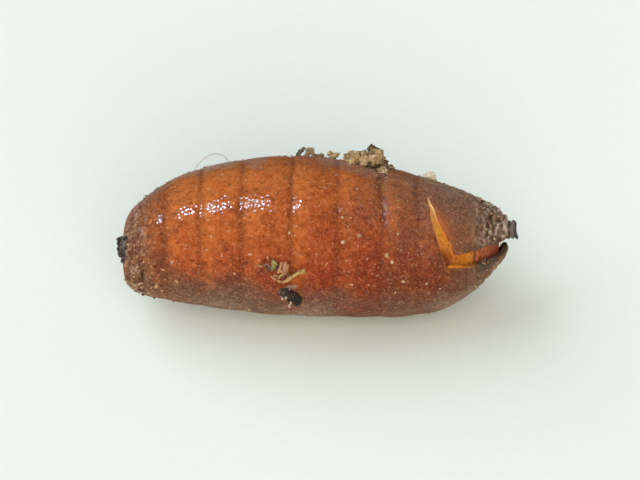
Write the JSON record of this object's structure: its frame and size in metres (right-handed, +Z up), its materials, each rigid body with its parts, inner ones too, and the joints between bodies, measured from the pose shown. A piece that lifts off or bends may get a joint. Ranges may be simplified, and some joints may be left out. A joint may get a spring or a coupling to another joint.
{
  "type": "empty fly puparium",
  "caption": "Hollow amber skin of a fly pupa, barrel-shaped and ringed by furrows, torn open at the head end, lying on its side with soil crumbs and a plant shred stuck to it.",
  "frame": {"origin": "on the small flat under the belly where the shell rests, below the middle of its length", "axes": "+X along the shell toward the torn head end, +Z up"},
  "size_m": [0.0081, 0.0034, 0.0032],
  "materials": {
    "amber_skin": "glossy, translucent amber to red-brown",
    "soil": "matt, sandy",
    "grey_soil": "matt, grey-brown",
    "sand": "matt, cream",
    "dry_plant": "satin, straw-coloured",
    "dark_soil": "satin, blackish brown",
    "hair": "satin, grey"
  },
  "bodies": {
    "root": {"puparium": "amber_skin", "soil_clump": "soil", "soil_flake": "grey_soil", "soil_crumb": "soil", "pale_grain": "sand", "plant_shred": "dry_plant", "dark_grain": "dark_soil", "fibre": "hair"}
  },
  "joints": []
}
